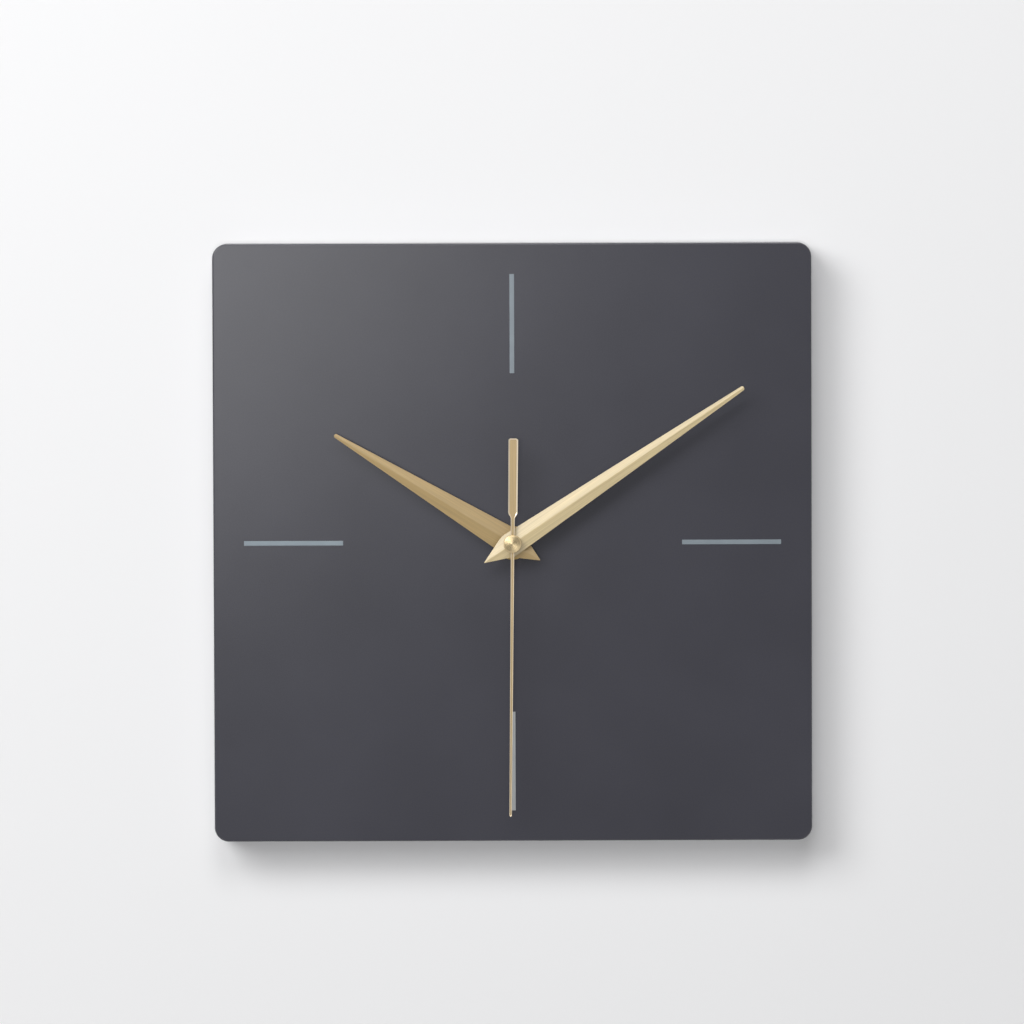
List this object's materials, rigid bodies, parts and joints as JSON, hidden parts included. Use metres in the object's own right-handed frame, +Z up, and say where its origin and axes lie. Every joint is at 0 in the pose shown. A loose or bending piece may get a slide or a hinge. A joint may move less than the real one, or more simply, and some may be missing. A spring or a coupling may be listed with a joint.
{
  "type": "square wall clock",
  "caption": "Square analogue wall clock: thick painted board, four bar hour marks, three folded metal hands and a battery quartz movement in a rear pocket, hung by a keyhole plate.",
  "frame": {"origin": "axis of the nail the clock hangs on, where it meets the wall's face, in the round end of the keyhole slot", "axes": "+X to the right as the dial is read, +Y into the wall, +Z up; the dial faces -Y"},
  "size_m": [0.25, 0.0333, 0.25],
  "materials": {
    "board_paint": "fibreboard sprayed in matt charcoal",
    "mark_print": "thick screen print, pale blue grey",
    "pad_felt": "pressed felt",
    "hanger_steel": "zinc plated",
    "fitting_brass": "turned",
    "washer_rubber": "moulded",
    "case_plastic": "moulded, fine texture",
    "white_plastic": "moulded acetal",
    "red_plastic": "moulded acetal",
    "motor_steel": "stamped",
    "spring_steel": "nickel plated",
    "coil_copper": "enamelled copper wire",
    "rotor_ferrite": "sintered magnet",
    "board_laminate": "green solder resist",
    "chip_resin": "resin drop",
    "cell_sleeve": "plain printed sleeve",
    "hand_gold": "brushed, pale gold anodised"
  },
  "bodies": {
    "case": {"clock_body": "board_paint", "hour_mark_12": "mark_print", "hour_mark_3": "mark_print", "hour_mark_6": "mark_print", "hour_mark_9": "mark_print", "wall_pad_top_left": "pad_felt", "wall_pad_top_right": "pad_felt", "wall_pad_bottom_left": "pad_felt", "wall_pad_bottom_right": "pad_felt", "keyhole_plate": "hanger_steel", "hanger_screw_left": "hanger_steel", "hanger_screw_right": "hanger_steel", "threaded_bushing": "fitting_brass", "rubber_washer": "washer_rubber", "dial_washer": "fitting_brass", "fixing_nut": "fitting_brass", "movement_case": "case_plastic", "movement_back_cover": "case_plastic", "middle_plate": "white_plastic", "stator_plate": "motor_steel", "coil_core": "motor_steel", "coil_bobbin": "white_plastic", "coil_winding": "coil_copper", "circuit_board": "board_laminate", "clock_chip": "chip_resin", "quartz_crystal": "spring_steel", "battery_contact_positive": "spring_steel", "battery_contact_negative": "spring_steel"},
    "battery": {"battery_cell": "cell_sleeve"},
    "seconds": {"seconds_arbor": "motor_steel", "seconds_wheel": "white_plastic", "second_hand_tube": "fitting_brass", "second_hand": "hand_gold", "second_hand_cap": "hand_gold"},
    "rotor": {"rotor_pinion": "red_plastic", "rotor_magnet": "rotor_ferrite"},
    "transfer": {"transfer_wheel": "white_plastic"},
    "third": {"third_wheel": "white_plastic"},
    "centre": {"centre_wheel": "white_plastic"},
    "minutes": {"cannon_pinion": "motor_steel", "clutch_spring": "spring_steel", "minute_hand_bush": "fitting_brass", "minute_hand": "hand_gold"},
    "motion": {"motion_wheel": "white_plastic"},
    "hours": {"hour_wheel": "white_plastic", "hour_hand_bush": "fitting_brass", "hour_hand": "hand_gold"},
    "setting": {"setting_shaft": "white_plastic", "setting_knob": "case_plastic"}
  },
  "joints": [
    {"name": "second_hand_turn", "type": "hinge", "parent": "case", "child": "seconds", "pos_m": [0, -0.021, -0.098], "axis": [0, 1, 0], "continuous": true},
    {"name": "rotor_turn", "type": "hinge", "parent": "case", "child": "rotor", "pos_m": [0.00204, -0.0074, -0.08367], "axis": [0, 1, 0], "continuous": true},
    {"name": "transfer_turn", "type": "hinge", "parent": "case", "child": "transfer", "pos_m": [-0.00146, -0.0074, -0.08973], "axis": [0, 1, 0], "continuous": true},
    {"name": "third_turn", "type": "hinge", "parent": "case", "child": "third", "pos_m": [-0.00837, -0.01, -0.09948], "axis": [0, 1, 0], "continuous": true},
    {"name": "centre_turn", "type": "hinge", "parent": "case", "child": "centre", "pos_m": [0, -0.0113, -0.098], "axis": [0, 1, 0], "continuous": true},
    {"name": "minute_hand_turn", "type": "hinge", "parent": "case", "child": "minutes", "pos_m": [0, -0.021, -0.098], "axis": [0, 1, 0], "continuous": true},
    {"name": "motion_turn", "type": "hinge", "parent": "case", "child": "motion", "pos_m": [0.00727, -0.0127, -0.1022], "axis": [0, 1, 0], "continuous": true},
    {"name": "hour_hand_turn", "type": "hinge", "parent": "case", "child": "hours", "pos_m": [0, -0.021, -0.098], "axis": [0, 1, 0], "continuous": true},
    {"name": "setting_knob_turn", "type": "hinge", "parent": "case", "child": "setting", "pos_m": [0.01321, -0.0021, -0.09626], "axis": [0, 1, 0], "continuous": true},
    {"name": "battery_lift", "type": "slide", "parent": "case", "child": "battery", "axis": [0, 1, 0], "range_m": [0, 0.03]}
  ],
  "couplings": [
    {"joint": "third_turn", "follows": "second_hand_turn", "ratio": -0.13333},
    {"joint": "centre_turn", "follows": "second_hand_turn", "ratio": 0.016667},
    {"joint": "transfer_turn", "follows": "second_hand_turn", "ratio": -5},
    {"joint": "rotor_turn", "follows": "second_hand_turn", "ratio": 30},
    {"joint": "motion_turn", "follows": "minute_hand_turn", "ratio": -0.33333},
    {"joint": "hour_hand_turn", "follows": "minute_hand_turn", "ratio": 0.083333},
    {"joint": "setting_knob_turn", "follows": "minute_hand_turn", "ratio": 1}
  ]
}
